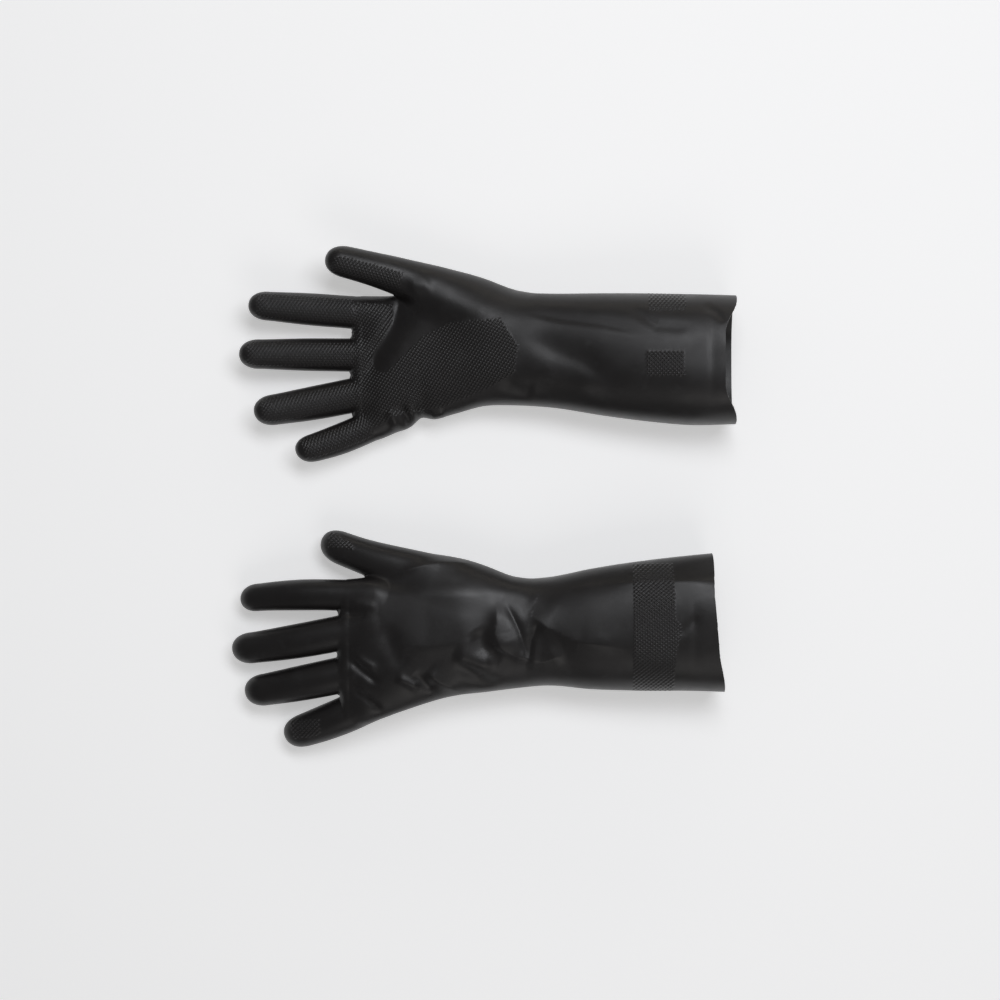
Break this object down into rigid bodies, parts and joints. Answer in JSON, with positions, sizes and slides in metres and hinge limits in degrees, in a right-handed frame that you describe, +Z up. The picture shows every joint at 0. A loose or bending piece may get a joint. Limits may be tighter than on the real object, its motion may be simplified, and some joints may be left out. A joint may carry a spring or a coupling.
{
  "type": "insulating gloves",
  "caption": "Pair of long rubber gauntlet gloves with bending wrists and fingers, right one palm up and left one palm down",
  "frame": {"origin": "centre of the pair's footprint, on the surface the gloves lie on", "axes": "+X from the fingertips towards the cuffs, +Y towards the thumb sides, from the left glove to the right one, +Z up from the surface"},
  "size_m": [0.3644, 0.3618, 0.068],
  "materials": {
    "rubber": "satin black with a fine raised diamond grip pattern"
  },
  "bodies": {
    "right_gauntlet": {"right_gauntlet": "rubber"},
    "right_hand": {"right_hand": "rubber"},
    "right_thumb_base": {"right_thumb_base": "rubber"},
    "right_thumb_tip": {"right_thumb_tip": "rubber"},
    "right_index_base": {"right_index_base": "rubber"},
    "right_index_tip": {"right_index_tip": "rubber"},
    "right_middle_base": {"right_middle_base": "rubber"},
    "right_middle_tip": {"right_middle_tip": "rubber"},
    "right_ring_base": {"right_ring_base": "rubber"},
    "right_ring_tip": {"right_ring_tip": "rubber"},
    "right_little_base": {"right_little_base": "rubber"},
    "right_little_tip": {"right_little_tip": "rubber"},
    "left_gauntlet": {"left_gauntlet": "rubber"},
    "left_hand": {"left_hand": "rubber"},
    "left_thumb_base": {"left_thumb_base": "rubber"},
    "left_thumb_tip": {"left_thumb_tip": "rubber"},
    "left_index_base": {"left_index_base": "rubber"},
    "left_index_tip": {"left_index_tip": "rubber"},
    "left_middle_base": {"left_middle_base": "rubber"},
    "left_middle_tip": {"left_middle_tip": "rubber"},
    "left_ring_base": {"left_ring_base": "rubber"},
    "left_ring_tip": {"left_ring_tip": "rubber"},
    "left_little_base": {"left_little_base": "rubber"},
    "left_little_tip": {"left_little_tip": "rubber"}
  },
  "joints": [
    {"name": "right_wrist", "type": "hinge", "parent": "right_gauntlet", "child": "right_hand", "pos_m": [0.03222, 0.10792, 0.024], "axis": [0, 1, 0], "range_deg": [-40, 50], "stiffness_Nm_per_rad": 1.5},
    {"name": "right_thumb_knuckle", "type": "hinge", "parent": "right_hand", "child": "right_thumb_base", "pos_m": [-0.06181, 0.16092, 0.02936], "axis": [0.1064, 0.9605, -0.2571], "range_deg": [-10, 30], "stiffness_Nm_per_rad": 0.2},
    {"name": "right_thumb_middle_joint", "type": "hinge", "parent": "right_thumb_base", "child": "right_thumb_tip", "pos_m": [-0.08655, 0.16757, 0.03313], "axis": [0.0711, 0.9644, -0.2547], "range_deg": [-15, 45], "stiffness_Nm_per_rad": 0.1},
    {"name": "right_index_knuckle", "type": "hinge", "parent": "right_hand", "child": "right_index_base", "pos_m": [-0.09201, 0.13452, 0.017], "axis": [0.0366, 0.9993, 0], "range_deg": [-10, 65], "stiffness_Nm_per_rad": 0.2},
    {"name": "right_index_middle_joint", "type": "hinge", "parent": "right_index_base", "child": "right_index_tip", "pos_m": [-0.12564, 0.13689, 0.01972], "axis": [0.0336, 0.9994, 0], "range_deg": [-12, 78], "stiffness_Nm_per_rad": 0.1},
    {"name": "right_middle_knuckle", "type": "hinge", "parent": "right_hand", "child": "right_middle_base", "pos_m": [-0.09055, 0.10372, 0.017], "axis": [0.0044, 1, 0], "range_deg": [-10, 65], "stiffness_Nm_per_rad": 0.2},
    {"name": "right_middle_middle_joint", "type": "hinge", "parent": "right_middle_base", "child": "right_middle_tip", "pos_m": [-0.12831, 0.10398, 0.01926], "axis": [0.0024, 1, 0], "range_deg": [-12, 78], "stiffness_Nm_per_rad": 0.1},
    {"name": "right_ring_knuckle", "type": "hinge", "parent": "right_hand", "child": "right_ring_base", "pos_m": [-0.08761, 0.07593, 0.0165], "axis": [-0.1089, 0.9941, 0], "range_deg": [-10, 65], "stiffness_Nm_per_rad": 0.2},
    {"name": "right_ring_middle_joint", "type": "hinge", "parent": "right_ring_base", "child": "right_ring_tip", "pos_m": [-0.1216, 0.06892, 0.01932], "axis": [-0.0936, 0.9956, 0], "range_deg": [-12, 78], "stiffness_Nm_per_rad": 0.1},
    {"name": "right_little_knuckle", "type": "hinge", "parent": "right_hand", "child": "right_little_base", "pos_m": [-0.08105, 0.05235, 0.016], "axis": [-0.225, 0.9744, 0], "range_deg": [-10, 65], "stiffness_Nm_per_rad": 0.2},
    {"name": "right_little_middle_joint", "type": "hinge", "parent": "right_little_base", "child": "right_little_tip", "pos_m": [-0.10366, 0.04251, 0.01884], "axis": [-0.1808, 0.9835, 0], "range_deg": [-12, 78], "stiffness_Nm_per_rad": 0.1},
    {"name": "left_wrist", "type": "hinge", "parent": "left_gauntlet", "child": "left_hand", "pos_m": [0.02022, -0.09738, 0.024], "axis": [0, -1, 0], "range_deg": [-40, 50], "stiffness_Nm_per_rad": 1.5},
    {"name": "left_thumb_knuckle", "type": "hinge", "parent": "left_hand", "child": "left_thumb_base", "pos_m": [-0.06663, -0.04785, 0.01864], "axis": [-0.1017, -0.961, -0.2571], "range_deg": [-10, 30], "stiffness_Nm_per_rad": 0.2},
    {"name": "left_thumb_middle_joint", "type": "hinge", "parent": "left_thumb_base", "child": "left_thumb_tip", "pos_m": [-0.09104, -0.04015, 0.01489], "axis": [-0.1178, -0.9598, -0.2548], "range_deg": [-15, 45], "stiffness_Nm_per_rad": 0.1},
    {"name": "left_index_knuckle", "type": "hinge", "parent": "left_hand", "child": "left_index_base", "pos_m": [-0.09907, -0.07048, 0.02501], "axis": [-0.0175, -0.9998, 0], "range_deg": [-10, 65], "stiffness_Nm_per_rad": 0.2},
    {"name": "left_index_middle_joint", "type": "hinge", "parent": "left_index_base", "child": "left_index_tip", "pos_m": [-0.13251, -0.07044, 0.01995], "axis": [0.0166, -0.9999, 0], "range_deg": [-12, 78], "stiffness_Nm_per_rad": 0.1},
    {"name": "left_middle_knuckle", "type": "hinge", "parent": "left_hand", "child": "left_middle_base", "pos_m": [-0.10048, -0.09726, 0.02601], "axis": [0.1045, -0.9945, 0], "range_deg": [-10, 65], "stiffness_Nm_per_rad": 0.2},
    {"name": "left_middle_middle_joint", "type": "hinge", "parent": "left_middle_base", "child": "left_middle_tip", "pos_m": [-0.13721, -0.10434, 0.02043], "axis": [0.0849, -0.9964, 0], "range_deg": [-12, 78], "stiffness_Nm_per_rad": 0.1},
    {"name": "left_ring_knuckle", "type": "hinge", "parent": "left_hand", "child": "left_ring_base", "pos_m": [-0.09548, -0.12656, 0.02501], "axis": [0.1132, -0.9936, 0], "range_deg": [-10, 65], "stiffness_Nm_per_rad": 0.2},
    {"name": "left_ring_middle_joint", "type": "hinge", "parent": "left_ring_base", "child": "left_ring_tip", "pos_m": [-0.12915, -0.13388, 0.01992], "axis": [0.0999, -0.995, 0], "range_deg": [-12, 78], "stiffness_Nm_per_rad": 0.1},
    {"name": "left_little_knuckle", "type": "hinge", "parent": "left_hand", "child": "left_little_base", "pos_m": [-0.09031, -0.15332, 0.02102], "axis": [0.2079, -0.9781, 0], "range_deg": [-10, 65], "stiffness_Nm_per_rad": 0.2},
    {"name": "left_little_middle_joint", "type": "hinge", "parent": "left_little_base", "child": "left_little_tip", "pos_m": [-0.11284, -0.1628, 0.01656], "axis": [0.186, -0.9826, 0], "range_deg": [-12, 78], "stiffness_Nm_per_rad": 0.1},
    {"name": "left_glove_lift", "type": "slide", "parent": "right_gauntlet", "child": "left_gauntlet", "axis": [0, 0, 1], "range_m": [0, 0.15]}
  ],
  "couplings": [
    {"joint": "right_thumb_middle_joint", "follows": "right_thumb_knuckle", "ratio": 1.5},
    {"joint": "right_index_middle_joint", "follows": "right_index_knuckle", "ratio": 1.2},
    {"joint": "right_middle_middle_joint", "follows": "right_middle_knuckle", "ratio": 1.2},
    {"joint": "right_ring_middle_joint", "follows": "right_ring_knuckle", "ratio": 1.2},
    {"joint": "right_little_middle_joint", "follows": "right_little_knuckle", "ratio": 1.2},
    {"joint": "left_thumb_middle_joint", "follows": "left_thumb_knuckle", "ratio": 1.5},
    {"joint": "left_index_middle_joint", "follows": "left_index_knuckle", "ratio": 1.2},
    {"joint": "left_middle_middle_joint", "follows": "left_middle_knuckle", "ratio": 1.2},
    {"joint": "left_ring_middle_joint", "follows": "left_ring_knuckle", "ratio": 1.2},
    {"joint": "left_little_middle_joint", "follows": "left_little_knuckle", "ratio": 1.2}
  ]
}
